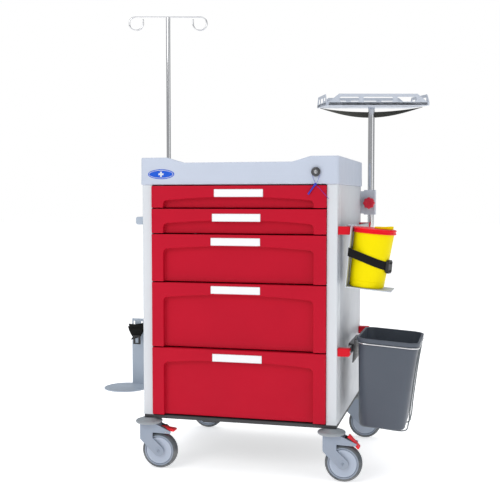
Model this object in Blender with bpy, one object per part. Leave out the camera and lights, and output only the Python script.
"""Crash cart: a five-drawer emergency trolley with its shelf, drip pole, bins and gas bottle holder.

Metres, +Z up.  The cart's front faces -Y.  Everything is laid out about the middle of the
cart's body, and the whole model then stands on one empty that moves it so that the origin
is under the middle of its footprint.
"""
import math

import bmesh
import bpy
from mathutils import Matrix, Vector

# ---------------------------------------------------------------- driving dimensions
GAP = 0.0003                 # clearance between pieces that touch
HALF_W = 0.340               # cart body, half width
HALF_D = 0.295               # cart body, half depth
BASE_TOP = 0.186             # underside of the panels
BODY_TOP = 0.985             # top of the columns
RIM_TOP = 1.078              # raised corners of the worktop moulding
RIM_DIP = 1.060              # lowered middle of its front and rear rims
FOOTPRINT = Vector((-0.0378, -0.1091, 0.0))   # moves the model onto its footprint's middle

COLUMN_IN = 0.3045           # inner face of a front column
COLUMN_DEEP = 0.065          # column, front to rear
SHEET = 0.004                # side and back panel thickness

DRAWER_EDGES = (0.985, 0.905, 0.818, 0.652, 0.426, 0.188)   # tops and bottoms of the fronts
DRAWER_HALF = 0.3035         # half width of a drawer front
FRONT_Y = -0.305             # face of the drawer fronts
FRONT_THICK = 0.030
SHADOW_GAP = 0.0018          # half the dark gap between two fronts
RECESS_HALF = 0.261          # finger recess, half width
RECESS_DEEP = 0.018
BAND_ENDS = 0.049            # solid band above the recess, at its ends
BAND_MIDDLE = 0.038          # and at its middle
TRAY_HALF = 0.278
TRAY_REAR = 0.165
TRAY_WALL = 0.0025
TRAY_HEIGHTS = (0.046, 0.050, 0.120, 0.180, 0.190)
FLANGE_UP = 0.014            # tray bottom to the flange that the guides hold
FLANGE_OUT = 0.300
FLANGE_THICK = 0.003

WHEEL_R = 0.0625
TRAIL = 0.041                # swivel axis to wheel axle
SWIVEL_X = 0.322
SWIVEL_Y = 0.288
PEDAL_AHEAD = 0.0680         # swivel axis to brake pedal pivot
PEDAL_UP = 0.1300            # height of that pivot
PEDAL_DOWN = math.radians(40)   # turn of a pressed brake pedal

RAIL_OUT = 0.3785            # outer face of the side rails
RAIL_THICK = 0.010
RAIL_HALF_H = 0.0125
RAIL_UPPER_Z = 0.833
RAIL_LOWER_Z = 0.430
RAIL_LEFT_Z = 0.8615
RAIL_LEFT_OUT = 0.363        # the left rail is short and sits closer, clear of the drip pole
WASTE_TILT = math.radians(4)     # holders hung on a rail lean towards the cart at the foot
SHARPS_TILT = math.radians(5.2)

DRIP_X = -0.357
DRIP_Y = 0.030
DRIP_TOP = 1.621
DRIP_R = 0.008
HOOK_TURN = math.radians(14.3)  # the hook bar is turned a little on its rod
HOOK_HALF = 0.1215
HOOK_R = 0.0245
HOOK_WIRE = 0.003

SHELF_X = 0.3763
SHELF_Y = 0.318
SHELF_Z = 1.2945
SHELF_TILT = math.radians(4.1)
SHELF_TURN = math.radians(15)   # the shelf is stored turned a little on its pole
SHELF_SHIFT = -0.0045        # the tray sits a little off centre on its pole
SHELF_HALF_W = 0.1907
SHELF_HALF_D = 0.1963
SHELF_CHAMFER = 0.008
SHELF_WALL = 0.0425
POLE_R = 0.0125
POLE_FOOT = 0.700

LOCK_X = 0.2687
LOCK_Z = 1.0253

BOTTLE_X = -0.4524           # centre of the gas bottle's foot plate
BOTTLE_Y = -0.180
BOTTLE_R = 0.078


# ---------------------------------------------------------------- tools
def clear_scene():
    for obj in list(bpy.data.objects):
        bpy.data.objects.remove(obj, do_unlink=True)


def material(name, colour, roughness, metallic=0.0):
    mat = bpy.data.materials.new(name)
    mat.use_nodes = True
    shader = mat.node_tree.nodes["Principled BSDF"]
    shader.inputs["Base Color"].default_value = (*colour, 1.0)
    shader.inputs["Roughness"].default_value = roughness
    shader.inputs["Metallic"].default_value = metallic
    return mat


def place(name, data, mat=None, parent=None):
    obj = bpy.data.objects.new(name, data)
    bpy.context.scene.collection.objects.link(obj)
    if mat is not None:
        obj.data.materials.append(mat)
    obj.parent = parent or STAND
    return obj


def mesh_object(name, points, faces, mat=None, parent=None):
    bm = bmesh.new()
    verts = [bm.verts.new(p) for p in points]
    for face in faces:
        bm.faces.new([verts[i] for i in face])
    bmesh.ops.recalc_face_normals(bm, faces=bm.faces)
    data = bpy.data.meshes.new(name)
    bm.to_mesh(data)
    bm.free()
    return place(name, data, mat, parent)


def smooth(obj, angle=35):
    obj.data.shade_smooth()
    obj.data.set_sharp_from_angle(angle=math.radians(angle))
    return obj


def loft(name, loops, mat=None, parent=None):
    """One closed skin through loops of equal length, flat at both ends."""
    count = len(loops[0])
    points = [p for loop in loops for p in loop]
    faces = [list(range(count)), [(len(loops) - 1) * count + i for i in range(count)]]
    for k in range(len(loops) - 1):
        for i in range(count):
            j = (i + 1) % count
            faces.append([k * count + i, k * count + j, (k + 1) * count + j, (k + 1) * count + i])
    return mesh_object(name, points, faces, mat, parent)


def prism(name, outline, axis, start, end, mat=None, parent=None):
    """An outline pushed along X, Y or Z.  The outline gives the other two axes in order."""
    def point(a, b, c):
        return {"X": (c, a, b), "Y": (a, c, b), "Z": (a, b, c)}[axis]
    loops = [[point(a, b, level) for a, b in outline] for level in (start, end)]
    return loft(name, loops, mat, parent)


def box(name, low, high, mat=None, parent=None):
    outline = [(low[0], low[1]), (high[0], low[1]), (high[0], high[1]), (low[0], high[1])]
    return prism(name, outline, "Z", low[2], high[2], mat, parent)


def arc(cx, cy, radius, start, end, steps):
    """Points on a circle, from one angle to another in degrees."""
    points = []
    for i in range(steps + 1):
        angle = math.radians(start + (end - start) * i / steps)
        points.append((cx + radius * math.cos(angle), cy + radius * math.sin(angle)))
    return points


def rounded_rect(x0, x1, y0, y1, radius, steps=4):
    corners = ((x1, y1, 0), (x0, y1, 90), (x0, y0, 180), (x1, y0, 270))
    points = []
    for cx, cy, start in corners:
        mx = cx - radius if cx == x1 else cx + radius
        my = cy - radius if cy == y1 else cy + radius
        points += arc(mx, my, radius, start, start + 90, steps)
    return points


def turned(name, profile, centre, axis="Z", segments=32, mat=None, parent=None):
    """A profile of (radius, height) turned about an axis through a centre."""
    points = []
    rings = []
    for radius, height in profile:
        if radius == 0:
            rings.append([len(points)])
            points.append((0, 0, height))
            continue
        rings.append(list(range(len(points), len(points) + segments)))
        points += [(x, y, height) for x, y in arc(0, 0, radius, 0, 360, segments)[:-1]]
    closed = profile[0][0] != 0
    pairs = list(zip(rings, rings[1:]))
    if closed:
        pairs.append((rings[-1], rings[0]))
    faces = []
    for lower, upper in pairs:
        for i in range(segments):
            j = (i + 1) % segments
            quad = [lower[i % len(lower)], lower[j % len(lower)],
                    upper[j % len(upper)], upper[i % len(upper)]]
            faces.append(list(dict.fromkeys(quad)))
    turn = {"Z": Matrix(), "Y": Matrix.Rotation(math.radians(-90), 4, "X"),
            "X": Matrix.Rotation(math.radians(90), 4, "Y")}[axis]
    move = Matrix.Translation(Vector(centre)) @ turn
    points = [move @ Vector(p) for p in points]
    return smooth(mesh_object(name, points, faces, mat, parent))


def rod(name, radius, start, end, axis, centre, mat=None, parent=None, segments=24):
    profile = [(0, start), (radius, start), (radius, end), (0, end)]
    return turned(name, profile, centre, axis, segments, mat, parent)


def wire(name, points, radius, mat, resolution=2):
    curve = bpy.data.curves.new(name, "CURVE")
    curve.dimensions = "3D"
    curve.bevel_depth = radius
    curve.bevel_resolution = resolution
    curve.use_fill_caps = True
    spline = curve.splines.new("POLY")
    spline.points.add(len(points) - 1)
    for slot, p in zip(spline.points, points):
        slot.co = (*p, 1.0)
    return place(name, curve, mat)


def bent_bar(name, points, normal, radius, parent=None, closed=False, sides=6):
    """A round bar along a flat path, as a mesh.  normal is the path's plane normal."""
    points = [Vector(p) for p in points]
    count = len(points)
    normal = Vector(normal)
    verts = []
    for i, point in enumerate(points):
        before = points[(i - 1) % count] if closed or i else point
        after = points[(i + 1) % count] if closed or i < count - 1 else point
        side = (after - before).normalized().cross(normal)
        verts += [point + radius * (x * normal + y * side) for x, y in arc(0, 0, 1, 0, 360, sides)[:-1]]
    faces = []
    for k in range(count if closed else count - 1):
        for i in range(sides):
            j = (i + 1) % sides
            low, high = k * sides, ((k + 1) % count) * sides
            faces.append([low + i, low + j, high + j, high + i])
    if not closed:
        faces += [list(range(sides)), [(count - 1) * sides + i for i in range(sides)]]
    return mesh_object(name, verts, faces, None, parent)


def smooth_path(knots, steps):
    """Points on a smooth curve through the knots."""
    ends = [2 * knots[0] - knots[1], *knots, 2 * knots[-1] - knots[-2]]
    points = []
    for a, b, c, d in zip(ends, ends[1:], ends[2:], ends[3:]):
        for i in range(steps):
            t = i / steps
            points.append(0.5 * (2 * b + (c - a) * t + (2 * a - 5 * b + 4 * c - d) * t * t
                                 + (3 * b - a - 3 * c + d) * t ** 3))
    points.append(knots[-1])
    return points


def modify(obj, kind, tool):
    tool.hide_render = True
    tool.display_type = "WIRE"
    mod = obj.modifiers.new(kind.lower(), "BOOLEAN")
    mod.operation = kind
    mod.object = tool
    return obj


def cut(obj, tool):
    return modify(obj, "DIFFERENCE", tool)


def fuse(obj, tool):
    return modify(obj, "UNION", tool)


def soften(obj, width, segments=2, angle=40):
    mod = obj.modifiers.new("soften", "BEVEL")
    mod.width = width
    mod.segments = segments
    mod.limit_method = "ANGLE"
    mod.angle_limit = math.radians(angle)
    return obj


def origin_at(obj, point):
    """Moves an object's origin to a point and leaves its mesh where it is."""
    obj.data.transform(Matrix.Translation(-Vector(point)))
    obj.location = point
    return obj


def frame_at(name, point, rotation=(0, 0, 0)):
    empty = bpy.data.objects.new(name, None)
    bpy.context.scene.collection.objects.link(empty)
    empty.parent = STAND
    empty.location = point
    empty.rotation_euler = rotation
    return empty


# ---------------------------------------------------------------- body
def base_frame():
    """Black base tray with a pull-out catch at the front."""
    half_w = HALF_W - 0.001
    half_d = HALF_D - 0.0015
    top = BASE_TOP - GAP
    outline = rounded_rect(-half_w, half_w, -half_d, half_d, 0.006)
    base = prism("base_frame", outline, "Z", 0.1745, top, BLACK)
    catch = [(-0.132, 0.1760), (-0.124, 0.1690), (-0.068, 0.1690), (-0.060, 0.1760)]
    fuse(base, prism("base_catch_tool", catch, "Y", -0.2900, -0.2500))
    return base


def column(side):
    """Front corner column: a rounded face, and a groove that the side panel's edge sits behind."""
    front = -HALF_D
    rear = front + COLUMN_DEEP
    outer = HALF_W
    corner = arc(outer - 0.005, front + 0.005, 0.005, -90, 0, 3)
    outline = [(COLUMN_IN, front), *corner,
               (outer, front + 0.014), (outer - 0.003, front + 0.016),
               (outer - 0.003, front + 0.024), (outer, front + 0.026),
               (outer, rear), (COLUMN_IN, rear)]
    outline = [(side * x, y) for x, y in outline]
    name = "column_right" if side > 0 else "column_left"
    return prism(name, outline, "Z", BASE_TOP, BODY_TOP - GAP, WHITE)


def flange_z(index):
    return DRAWER_EDGES[index + 1] + 0.0115 + FLANGE_UP


def side_panel(side):
    """Side sheet with the five moulded channels that the drawer flanges run in."""
    front = -HALF_D + COLUMN_DEEP + GAP
    rear = HALF_D - SHEET - GAP
    name = "side_panel_right" if side > 0 else "side_panel_left"
    xs = sorted((side * (HALF_W - SHEET), side * HALF_W))
    panel = box(name, (xs[0], front, BASE_TOP), (xs[1], rear, BODY_TOP - GAP), PANEL)
    for index in range(5):
        low = flange_z(index)
        inner = TRAY_HALF + 0.004
        outline = [(inner, low - 0.008), (HALF_W - SHEET + 0.001, low - 0.008),
                   (HALF_W - SHEET + 0.001, low + FLANGE_THICK + 0.008),
                   (inner, low + FLANGE_THICK + 0.008), (inner, low + FLANGE_THICK + GAP),
                   (FLANGE_OUT + 0.001, low + FLANGE_THICK + GAP),
                   (FLANGE_OUT + 0.001, low - GAP), (inner, low - GAP)]
        outline = [(side * x, z) for x, z in outline]
        fuse(panel, prism("channel_tool", outline, "Y", front + 0.005, 0.215))
    return panel


def back_panel():
    low = (-HALF_W, HALF_D - SHEET, BASE_TOP)
    return soften(box("back_panel", low, (HALF_W, HALF_D, BODY_TOP - GAP), PANEL), 0.001, 1)


def top_housing():
    """Worktop moulding: a rimmed tray above, hollow below, with dips in the front and rear rims."""
    x = HALF_W + 0.004
    y = HALF_D + 0.004
    loops = []
    for level, grow in ((BODY_TOP, 0.001), (BODY_TOP + 0.030, 0.0004), (RIM_TOP - 0.004, 0.0),
                        (RIM_TOP, -0.004)):
        outline = rounded_rect(-x - grow, x + grow, -y - grow, y + grow, 0.012, 4)
        loops.append([(a, b, level) for a, b in outline])
    housing = loft("top_housing", loops, HOUSING)
    surface = rounded_rect(-0.326, 0.326, -0.281, 0.281, 0.030, 5)
    cut(housing, prism("worktop_tool", surface, "Z", 1.040, 1.100))
    hollow = rounded_rect(-0.334, 0.334, -0.289, 0.289, 0.008, 2)
    cut(housing, prism("hollow_tool", hollow, "Z", 0.970, 1.034))
    dip = [(-0.2535, RIM_TOP + 0.001), (-0.188, RIM_DIP), (0.188, RIM_DIP),
           (0.2535, RIM_TOP + 0.001), (0.2535, 1.100), (-0.2535, 1.100)]
    cut(housing, prism("dip_tool", dip, "Y", -0.350, 0.350))
    cut(housing, rod("lock_hole_tool", 0.0080, -0.320, -0.270, "Y", (LOCK_X, 0, LOCK_Z)))
    return smooth(housing)


def lock():
    """Cam lock in the housing's front: a bezel with a neck, and the barrel with its cam."""
    face = -HALF_D - 0.005
    centre = (LOCK_X, 0, LOCK_Z)
    profile = [(0.0078, face - 0.0082), (0.0140, face - 0.0082), (0.0155, face - 0.0070),
               (0.0155, face - 0.0052), (0.0105, face - 0.0052), (0.0105, face - GAP),
               (0.0078, face - GAP)]
    turned("lock_bezel", profile, centre, "Y", 32, DARK_METAL)
    barrel = rod("lock_barrel", 0.0074, face - 0.0086, -0.268, "Y", centre, CHROME)
    cam = [(LOCK_X - 0.007, LOCK_Z - 0.018), (LOCK_X + 0.007, LOCK_Z - 0.018),
           (LOCK_X + 0.005, LOCK_Z + 0.004), (LOCK_X - 0.005, LOCK_Z + 0.004)]
    fuse(barrel, prism("cam_tool", cam, "Y", -0.2735, -0.2705))
    slot = box("key_slot_tool", (LOCK_X - 0.0008, -0.320, LOCK_Z - 0.0035),
               (LOCK_X + 0.0008, face - 0.0056, LOCK_Z + 0.0035))
    cut(barrel, slot)
    origin_at(barrel, centre)


def seal():
    """Pull-tight seal: its thread loops over the bezel's neck, and its flag hangs in front."""
    y = -HALF_D - 0.0075
    loop_r = 0.0118
    knots = [(0.3133, -0.3105, 0.9363), (0.2990, -0.3108, 0.9520), (0.2830, -0.3110, 0.9700),
             (0.2722, -0.3118, 0.9815), (0.2745, -0.3090, 0.9930), (0.2795, -0.3033, 1.0090),
             (LOCK_X + loop_r, y, 1.0240)]
    knots += [(x, y, z) for x, z in arc(LOCK_X, LOCK_Z, loop_r, 30, 150, 4)]
    knots += [(LOCK_X - loop_r, y, 1.0240), (0.2582, -0.3033, 1.0090), (0.2640, -0.3072, 0.9965),
              (0.2672, -0.3085, 0.9902)]
    points = smooth_path([Vector(p) for p in knots], 3)
    wire("seal_thread", points, 0.0006, SEAL)
    tilt = math.atan2(0.2431 - 0.2680, 0.9853 - 0.9504)
    flag = frame_at("seal_flag_frame", (0.2680, -0.3085, 0.9853), (0, -tilt, 0))
    outline = [(-0.0040, 0.0030), (-0.0040, -0.0050), (-0.0026, -0.0065), (-0.0026, -0.0420),
               (0.0026, -0.0420), (0.0026, -0.0065), (0.0040, -0.0050), (0.0040, 0.0030)]
    soften(prism("seal_flag", outline, "Y", -0.0016, 0.0012, SEAL, flag), 0.0004, 1)


# ---------------------------------------------------------------- drawers
def recess_outline(bottom, top):
    """Finger recess, open below: straight sides, round upper corners and a shallow arch."""
    ends = top - BAND_ENDS
    rise = BAND_ENDS - BAND_MIDDLE
    radius = min(0.016, (ends - bottom) * 0.6)
    points = [(-RECESS_HALF, bottom - 0.010)]
    points += arc(-RECESS_HALF + radius, ends - radius, radius, 180, 90, 4)
    span = RECESS_HALF - radius
    for i in range(1, 10):
        x = -span + 2 * span * i / 10
        points.append((x, ends + rise * (1 - (x / span) ** 2)))
    points += arc(RECESS_HALF - radius, ends - radius, radius, 90, 0, 4)
    points.append((RECESS_HALF, bottom - 0.010))
    return points


def drawer(index):
    top = DRAWER_EDGES[index] - (0.0035 if index == 0 else SHADOW_GAP)
    bottom = DRAWER_EDGES[index + 1] + SHADOW_GAP
    name = f"drawer_{index + 1}"
    rear = FRONT_Y + FRONT_THICK
    front = box(f"{name}_front", (-DRAWER_HALF, FRONT_Y, bottom), (DRAWER_HALF, rear, top), RED)
    recess = prism("recess_tool", recess_outline(bottom, top), "Y", FRONT_Y - 0.01,
                   FRONT_Y + RECESS_DEEP)
    cut(front, recess)
    soften(front, 0.0015, 1)

    floor = DRAWER_EDGES[index + 1] + 0.0115
    tray = box(f"{name}_tray", (-TRAY_HALF, rear + GAP, floor),
               (TRAY_HALF, TRAY_REAR, floor + TRAY_HEIGHTS[index]), TRAY)
    inner = TRAY_HALF - TRAY_WALL
    cavity = box("cavity_tool", (-inner, rear + GAP + TRAY_WALL, floor + TRAY_WALL),
                 (inner, TRAY_REAR - TRAY_WALL, floor + 0.300))
    cut(tray, cavity)
    for side in (-1, 1):
        xs = sorted((side * (TRAY_HALF - 0.001), side * FLANGE_OUT))
        low = flange_z(index)
        flange = box("flange_tool", (xs[0], -0.235, low),
                     (xs[1], TRAY_REAR - 0.001, low + FLANGE_THICK))
        fuse(tray, flange)


# ---------------------------------------------------------------- casters
def fork(name, sx, sy):
    """Swivel head: a domed cap, a hood over the wheel and two legs with arms for the pedal."""
    profile = [(0, 0.1742), (0.0240, 0.1742), (0.0300, 0.1700), (0.0430, 0.1672), (0.0470, 0.1630),
               (0.0460, 0.1585), (0.0430, 0.1565), (0, 0.1565)]
    head = turned(name, profile, (sx, sy, 0), "Z", 24, GREY)
    hood = [(-0.0265, 0.1580), (-0.0265, 0.1350), (-0.0150, 0.1290), (0.0420, 0.1290),
            (0.0420, 0.1460), (0.0300, 0.1580)]
    hood = [(sx + a, b) for a, b in hood]
    fuse(head, prism("hood_tool", hood, "Y", sy - 0.0188, sy + 0.0188))
    leg = [(-0.0265, 0.1580), (-0.0265, 0.1010)] + arc(TRAIL, WHEEL_R, 0.0190, 223, 407, 8)
    leg += [(0.0200, 0.1070), (0.0200, 0.1260), (0.0840, 0.1245), (0.0870, 0.1325),
            (0.0600, 0.1440), (0.0300, 0.1580)]
    leg = [(sx + a, b) for a, b in leg]
    for side in (-1, 1):
        ys = sorted((sy + side * 0.0185, sy + side * 0.0235))
        fuse(head, prism("leg_tool", leg, "Y", ys[0], ys[1]))
    origin_at(head, (sx, sy, 0))


def wheel(name, sx, sy):
    """Tyre and dished wheel centre, turned about the axle."""
    half = [(0.0, 0.0182), (0.0110, 0.0182), (0.0130, 0.0115), (0.0430, 0.0115),
            (0.0460, 0.0158), (0.0585, 0.0140), (WHEEL_R, 0.0060)]
    profile = [(r, -h) for r, h in half] + [(r, h) for r, h in reversed(half)]
    centre = (sx + TRAIL, sy, WHEEL_R)
    origin_at(turned(name, profile, centre, "Y", 28, TYRE), centre)


def pedal(name, sx, sy, turn):
    """Brake pedal: a rocker between the arms of the fork, turned about its pivot."""
    outline = arc(0, 0, 0.0060, 200, 340, 6)
    outline += [(0.0075, 0.0035), (0.0260, 0.0010), (0.0295, 0.0030), (0.0290, 0.0085),
                (0.0240, 0.0100), (-0.0225, 0.0160), (-0.0245, 0.0140), (-0.0240, 0.0080),
                (-0.0075, 0.0058)]
    pivot = (sx + PEDAL_AHEAD, sy, PEDAL_UP)
    frame = frame_at(f"{name}_pivot", pivot, (0, turn, 0))
    soften(prism(name, outline, "Y", -0.0150, 0.0150, BRAKE, frame), 0.0008, 1)


def casters():
    for end, sy in (("front", -SWIVEL_Y), ("rear", SWIVEL_Y)):
        for side, sx in (("left", -SWIVEL_X), ("right", SWIVEL_X)):
            fork(f"caster_{end}_{side}_fork", sx, sy)
            wheel(f"caster_{end}_{side}_wheel", sx, sy)
    pedal("brake_pedal_left", -SWIVEL_X, -SWIVEL_Y, 0.0)
    pedal("brake_pedal_right", SWIVEL_X, -SWIVEL_Y, PEDAL_DOWN)


# ---------------------------------------------------------------- rails
def rail_bracket(name, side, ends, z, out, mat):
    """Block that holds a rail's end, with its outer corners rounded."""
    start = HALF_W + GAP
    end = out + 0.003
    high = RAIL_HALF_H + 0.001
    outline = [(start, -high)] + arc(end - 0.007, -high + 0.007, 0.007, -90, 0, 3)
    outline += arc(end - 0.007, high - 0.007, 0.007, 0, 90, 3) + [(start, high)]
    outline = [(side * a, z + b) for a, b in outline]
    soften(prism(name, outline, "Y", ends[0], ends[1], mat), 0.0008, 1)


def rail(name, side, z, out, rear, bracket_mat):
    """Flat bar between two brackets.  rear is where the rear bracket starts."""
    rail_bracket(f"{name}_bracket_front", side, (-0.290, -0.262), z, out, bracket_mat)
    rail_bracket(f"{name}_bracket_rear", side, (rear, rear + 0.028), z, out, bracket_mat)
    xs = sorted((side * (out - RAIL_THICK), side * out))
    bar = box(name, (xs[0], -0.262 + GAP, z - RAIL_HALF_H), (xs[1], rear - GAP, z + RAIL_HALF_H),
              RAIL_METAL)
    soften(bar, 0.0012, 1)


# ---------------------------------------------------------------- drip pole
def drip_pole():
    """Outer tube on two stand-offs, the rod that slides in it, its hook bar and clamp knob."""
    centre = (DRIP_X, DRIP_Y, 0)
    profile = [(0.0110, 0.450), (0.0110, 0.930), (0.0145, 0.932), (0.0145, 0.962), (0.0086, 0.962),
               (0.0086, 0.450)]
    tube = turned("drip_tube", profile, centre, "Z", 24, STEEL)
    for z in (0.500, 0.900):
        low = (DRIP_X + 0.0095, DRIP_Y - 0.012, z)
        fuse(tube, box("tube_foot_tool", low, (-HALF_W - GAP, DRIP_Y + 0.012, z + 0.018)))
    rod("drip_rod", DRIP_R, 0.500, DRIP_TOP - HOOK_WIRE - GAP, "Z", centre, CHROME)

    side = arc(HOOK_HALF, -HOOK_R, HOOK_R, 90, -90, 8)
    side += arc(HOOK_HALF - 0.004, -HOOK_R - 0.001, HOOK_R - 0.001, -95, -180, 5)
    side.append((HOOK_HALF - HOOK_R - 0.003, -0.0085))
    path = [(-a, b) for a, b in reversed(side)] + side
    across = Vector((math.cos(HOOK_TURN), math.sin(HOOK_TURN), 0))
    top = Vector((DRIP_X, DRIP_Y, DRIP_TOP))
    points = [top + across * a + Vector((0, 0, b)) for a, b in path]
    wire("drip_hook", points, HOOK_WIRE, CHROME, resolution=1)

    profile = [(0, 0.0), (0.004, 0.0), (0.004, 0.008), (0.012, 0.010), (0.014, 0.014),
               (0.012, 0.022), (0, 0.024)]
    pivot = (DRIP_X, DRIP_Y + 0.0148, 0.947)
    origin_at(turned("drip_knob", profile, pivot, "Y", 16, BLACK), pivot)


# ---------------------------------------------------------------- swivelling shelf
def shelf_support():
    """Clamp block behind the rear corner, its knob and the pole that it grips."""
    rear = HALF_D + GAP
    block = box("shelf_clamp", (0.3520, rear, 0.876), (0.3940, 0.3410, 0.972), CAST)
    fuse(block, box("clamp_foot_tool", (0.285, rear + 0.0002, 0.880), (0.360, rear + 0.006, 0.967)))
    cut(block, rod("clamp_bore_tool", POLE_R + 0.0005, 0.860, 0.990, "Z", (SHELF_X, SHELF_Y, 0)))
    soften(block, 0.0015, 1)
    lobes = []
    for i in range(32):
        angle = 2 * math.pi * i / 32
        radius = 0.0215 + 0.0015 * math.cos(8 * angle)
        lobes.append((radius * math.cos(angle), radius * math.sin(angle)))
    pivot = Vector((0.3735, rear - GAP * 2, 0.9210))
    loops = [[(a * s, -d, b * s) for a, b in lobes]
             for s, d in ((0.45, 0.0), (0.45, 0.008), (1.0, 0.011), (1.0, 0.021), (0.86, 0.025))]
    knob = loft("shelf_knob", loops, KNOB)
    knob.location = pivot
    smooth(knob, 30)
    top = SHELF_Z - 0.008 - GAP
    rod("shelf_pole", POLE_R, POLE_FOOT, top, "Z", (SHELF_X, SHELF_Y, 0), CHROME, segments=28)


def slotted_wall(half, axis, tool_name, frame, level):
    """Upright rail of the shelf: sloped ends and three rounded cut-outs."""
    foot = 0.0005
    centre = SHELF_SHIFT if axis == "X" else 0.0
    outline = [(-half, foot), (half, foot), (half, 0.012), (half - 0.038, SHELF_WALL),
               (-half + 0.038, SHELF_WALL), (-half, 0.012)]
    outline = [(centre + a, b) for a, b in outline]
    push = {"X": "Y", "Y": "X"}[axis]
    start, end = sorted(level)
    wall = prism(tool_name, outline, push, start, end, None, frame)
    for low, high in ((-0.142, -0.070), (-0.055, 0.055), (0.070, 0.142)):
        slot = rounded_rect(centre + low, centre + high, 0.014, 0.031, 0.006, 3)
        cut(wall, prism("slot_tool", slot, push, start - 0.01, end + 0.01, None, frame))
    return wall


def shelf():
    """Eight-sided tray with slotted walls, tilted towards the user, and the strap under it."""
    frame = frame_at("shelf_frame", (SHELF_X, SHELF_Y, SHELF_Z), (SHELF_TILT, 0, SHELF_TURN))
    w = SHELF_HALF_W
    d = SHELF_HALF_D
    c = SHELF_CHAMFER

    def eight(inset):
        a = w - inset
        b = d - inset
        k = c - inset * 0.586
        outline = [(a, -b + k), (a, b - k), (a - k, b), (-a + k, b), (-a, b - k), (-a, -b + k),
                   (-a + k, -b), (a - k, -b)]
        return [(SHELF_SHIFT + x, y) for x, y in outline]

    tray = prism("shelf_tray", eight(0.0), "Z", 0.0, 0.012, TRAY_GREY, frame)
    cut(tray, prism("shelf_floor_tool", eight(0.0022), "Z", 0.0026, 0.050, None, frame))
    inner = 0.0028
    for level in ((-d, -d + inner), (d - inner, d)):
        fuse(tray, slotted_wall(w - c, "X", "long_wall_tool", frame, level))
    for level in ((-w, -w + inner), (w - inner, w)):
        level = [SHELF_SHIFT + x for x in level]
        fuse(tray, slotted_wall(d - c, "Y", "short_wall_tool", frame, level))
    boss = rod("boss_tool", 0.0135, SHELF_Z - 0.008, SHELF_Z + 0.001, "Z", (SHELF_X, SHELF_Y, 0))
    fuse(tray, boss)

    half = 0.184
    loops = []
    for i in range(17):
        x = -half + 2 * half * i / 16
        y = 0.035 - 0.516 * x
        u = abs(i - 8) / 8
        upper = -0.0010 - 0.0170 * (1 - u * u)
        width = 0.0220 * (1 - 0.85 * u ** 1.6)
        loops.append([(x, y - 0.0008, upper), (x, y + 0.0008, upper), (x, y + 0.0008, upper - width),
                      (x, y - 0.0008, upper - width)])
    loft("shelf_strap", loops, WEBBING, frame)


# ---------------------------------------------------------------- sharps container
def rail_hook(frame, target, y0, y1, reach):
    """Over-rail hook, shared by the holders that hang on a side rail."""
    inner = -reach
    fuse(target, box("hook_top_tool", (inner + 0.0005, y0, 0.0), (0.0020, y1, 0.0028), None, frame))
    fuse(target, box("hook_lip_tool", (inner, y0, -0.0120), (inner + 0.0025, y1, 0.0026), None, frame))


def sharps():
    """Bracket on the upper rail, tapered container, lid, flap and the strap round it."""
    hang = (RAIL_OUT + 0.0050, -0.235, RAIL_UPPER_Z + RAIL_HALF_H + 0.001)
    frame = frame_at("sharps_frame", hang, (0, SHARPS_TILT, 0))
    half = 0.065
    bracket = box("sharps_bracket", (0.0, -half, -0.2000), (0.0025, half, 0.0024), CAST, frame)
    fuse(bracket, box("ledge_tool", (0.0005, -half + 0.0005, -0.1998),
                      (0.150, half - 0.0005, -0.1970), None, frame))
    rail_hook(frame, bracket, -0.024, half - 0.001, 0.0200)

    back = 0.0045
    low, high = -0.1967, -0.0035
    r_low, r_high = 0.0575, 0.0670

    def ring(level, shrink, count=28):
        t = (level - low) / (high - low)
        radius = r_low + (r_high - r_low) * t
        middle = back + radius
        return [(middle + (radius - shrink) * x, (radius - shrink) * y, level)
                for x, y in arc(0, 0, 1, 0, 360, count)[:-1]]

    wall = 0.0022
    loops = [ring(low, 0.003), ring(low + 0.003, 0.0), ring(high, 0.0), ring(high, wall),
             ring(low + wall + 0.001, wall)]
    smooth(loft("sharps_bin", loops, YELLOW, frame))

    lid_middle = back + r_high
    profile = [(0, -0.0028), (0.0678, -0.0028), (0.0678, -0.0165), (0.0715, -0.0165),
               (0.0722, -0.0140), (0.0722, -0.0040), (0.0690, 0.0), (0, 0.0)]
    lid = turned("sharps_lid", profile, (lid_middle, 0, 0), "Z", 28, LID, frame)
    mouth = (lid_middle + 0.029, 0, 0)
    cut(lid, box("lid_flat_tool", (-0.010, -0.080, -0.030), (0.0031, 0.080, 0.010), None, frame))
    cut(lid, rod("mouth_tool", 0.0220, -0.010, 0.010, "Z", mouth, None, frame))
    outline = rounded_rect(0.0, 0.062, -0.027, 0.027, 0.022, 5)
    flap = prism("sharps_flap", outline, "Z", -0.0013, 0.0150, YELLOW, frame)
    above = [(-0.010, 0.0030), (0.030, 0.0050), (0.055, 0.0088), (0.070, 0.0090), (0.070, 0.020),
             (-0.010, 0.020)]
    cut(flap, prism("flap_top_tool", above, "Y", -0.050, 0.050, None, flap))
    flap.location = (lid_middle - 0.001, 0, 0.0021)
    soften(flap, 0.0006, 1)

    def band_level(x):
        return -0.085 - 0.30 * (x - 0.010)

    loops = []
    for i in range(21):
        angle = math.radians(-104 + 208 * i / 20)
        level = band_level(back + 0.063 * (1 + math.cos(angle)))
        taper = (r_high - r_low) / (high - low)
        radius = r_low + taper * (level - low)
        loop = []
        for lift, rise in ((0.0014, -0.0140), (0.0030, -0.0140), (0.0030, 0.0140), (0.0014, 0.0140)):
            r = radius + lift + taper * rise
            loop.append((back + radius + r * math.cos(angle), r * math.sin(angle), level + rise))
        loops.append(loop)

    def anchor(sign):
        level = band_level(0.0)
        return [(-0.001, sign * (half + out), level + rise)
                for out, rise in ((0.0010, -0.014), (0.0026, -0.014), (0.0026, 0.014), (0.0010, 0.014))]

    loops = [anchor(-1), *loops, anchor(1)]
    loft("sharps_strap", loops, WEBBING, frame)


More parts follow.
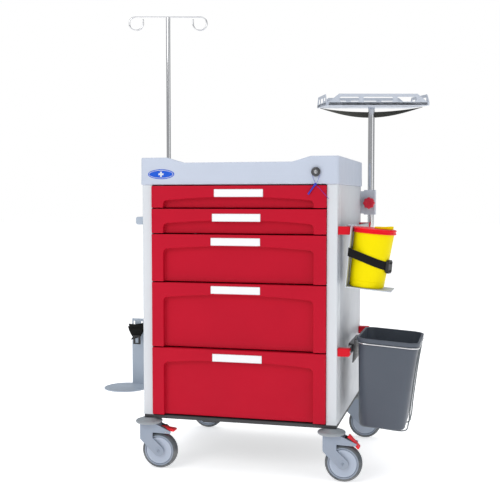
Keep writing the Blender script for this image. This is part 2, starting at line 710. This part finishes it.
# ---------------------------------------------------------------- waste bin
def waste():
    """Wire holder on the lower rail and the bin that drops into its ring."""
    hang = (RAIL_OUT + 0.003, -0.122, RAIL_LOWER_Z + RAIL_HALF_H + 0.001)
    frame = frame_at("waste_frame_axes", hang, (0, WASTE_TILT, 0))
    holder = box("waste_holder", (0.0, -0.0750, -0.0620), (0.0028, 0.1250, 0.0024), DARK_METAL, frame)
    rail_hook(frame, holder, -0.074, 0.124, 0.0175)

    ring_z = 0.0176
    outline = rounded_rect(0.0152, 0.2205, -0.1412, 0.1412, 0.036, 4)
    path = [(x, y, ring_z) for x, y in outline]
    fuse(holder, bent_bar("ring_tool", path, (0, 0, 1), 0.0026, frame, True))
    for y in (-0.060, 0.100):
        tab = box("ring_tab_tool", (0.0010, y - 0.012, -0.0050), (0.0030, y + 0.012, ring_z + 0.001),
                  None, frame)
        fuse(holder, tab)
        arm = box("ring_arm_tool", (0.0012, y - 0.009, ring_z - 0.0012),
                  (0.0150, y + 0.009, ring_z + 0.0012), None, frame)
        fuse(holder, arm)
    knots = [(0.2205, ring_z), (0.2130, -0.060), (0.2075, -0.150), (0.2050, -0.200),
             (0.2030, -0.250), (0.1890, -0.2765), (0.1100, -0.2775), (0.0500, -0.2765),
             (0.0380, -0.2550), (0.0330, -0.200), (0.0235, -0.080), (0.0152, ring_z)]
    for y in (-0.060, 0.060):
        path = smooth_path([Vector((a, y, b)) for a, b in knots], 2)
        fuse(holder, bent_bar("cradle_tool", path, (0, 1, 0), 0.0021, frame))

    def level(z, inset):
        t = (z + 0.266) / (0.035 + 0.266)
        x0 = 0.0423 + (0.0185 - 0.0423) * t + inset
        x1 = 0.1925 + (0.2170 - 0.1925) * t - inset
        y1 = 0.1180 + (0.1380 - 0.1180) * t - inset
        return [(x, y, z) for x, y in rounded_rect(x0, x1, -y1, y1, 0.034 - inset, 5)]

    wall = 0.0024
    lip = -0.0055
    loops = [level(-0.266, 0.006), level(-0.260, 0.0), level(0.0209, 0.0), level(0.0209, lip),
             level(0.0350, lip), level(0.0350, wall), level(-0.262, wall + 0.002)]
    smooth(loft("waste_bin", loops, BIN_GREY, frame))


# ---------------------------------------------------------------- gas bottle holder
def bottle_holder():
    """Angle plate bolted to the side, foot plate in front of it, and its gathered strap."""
    side = -HALF_W - GAP
    plate = box("bottle_bracket", (-0.4540, -0.1110, 0.2485), (side, -0.1080, 0.4950), PALE_STEEL)
    fuse(plate, box("flange_tool", (side - 0.0030, -0.1100, 0.2495), (side, -0.0600, 0.4940)))
    foot = rod("foot_tool", BOTTLE_R, 0.2485, 0.2525, "Z", (BOTTLE_X, BOTTLE_Y, 0), segments=40)
    fuse(plate, foot)
    for x in (-0.4460, -0.4160):
        slot = rounded_rect(x - 0.0030, x + 0.0030, 0.4600, 0.4860, 0.0028, 3)
        cut(plate, prism("slot_tool", slot, "Y", -0.120, -0.100))
    outline = [(-0.4700, 0.4380), (-0.4650, 0.4730), (-0.4330, 0.4850), (-0.4000, 0.4780),
               (-0.3900, 0.4460), (-0.4170, 0.3970)]
    soften(prism("bottle_strap", outline, "Y", -0.1480, -0.1113, WEBBING), 0.004, 2, 20)


# ---------------------------------------------------------------- build
clear_scene()
STAND = bpy.data.objects.new("stand", None)
bpy.context.scene.collection.objects.link(STAND)
STAND.location = FOOTPRINT

BLACK = material("black_plastic", (0.05, 0.05, 0.052), 0.55)
WHITE = material("column_white", (0.74, 0.77, 0.80), 0.40)
PANEL = material("panel_grey", (0.60, 0.62, 0.64), 0.45)
HOUSING = material("housing_blue_grey", (0.56, 0.62, 0.74), 0.40)
RED = material("drawer_red", (0.55, 0.012, 0.030), 0.35)
TRAY = material("tray_white", (0.70, 0.72, 0.74), 0.45)
GREY = material("caster_grey", (0.25, 0.30, 0.36), 0.45)
TYRE = material("tyre_grey", (0.08, 0.10, 0.12), 0.60)
BRAKE = material("pedal_red", (0.90, 0.06, 0.05), 0.35)
BRACKET_RED = material("bracket_red", (0.70, 0.0, 0.015), 0.35)
RAIL_METAL = material("rail_aluminium", (0.42, 0.44, 0.45), 0.35, 0.9)
DARK_METAL = material("dark_steel", (0.10, 0.10, 0.10), 0.35, 0.8)
CHROME = material("chrome", (0.72, 0.72, 0.72), 0.12, 1.0)
STEEL = material("satin_steel", (0.50, 0.52, 0.54), 0.30, 0.9)
CAST = material("clamp_grey", (0.30, 0.35, 0.41), 0.45)
KNOB = material("knob_red", (0.60, 0.02, 0.03), 0.35)
TRAY_GREY = material("shelf_grey", (0.53, 0.58, 0.66), 0.40)
WEBBING = material("webbing_black", (0.02, 0.02, 0.02), 0.85)
SEAL = material("seal_blue", (0.02, 0.02, 0.45), 0.40)
YELLOW = material("sharps_yellow", (0.85, 0.75, 0.0), 0.30)
LID = material("lid_red", (0.85, 0.01, 0.02), 0.30)
BIN_GREY = material("bin_grey", (0.10, 0.11, 0.14), 0.50)
PALE_STEEL = material("holder_blue_grey", (0.37, 0.44, 0.53), 0.40)

base_frame()
for hand in (-1, 1):
    column(hand)
    side_panel(hand)
back_panel()
top_housing()
lock()
seal()
for number in range(5):
    drawer(number)
casters()
rail("rail_right_upper", 1, RAIL_UPPER_Z, RAIL_OUT, 0.245, BRACKET_RED)
rail("rail_right_lower", 1, RAIL_LOWER_Z, RAIL_OUT, 0.245, BRACKET_RED)
rail("rail_left", -1, RAIL_LEFT_Z, RAIL_LEFT_OUT, -0.030, PALE_STEEL)
drip_pole()
shelf_support()
shelf()
sharps()
waste()
bottle_holder()
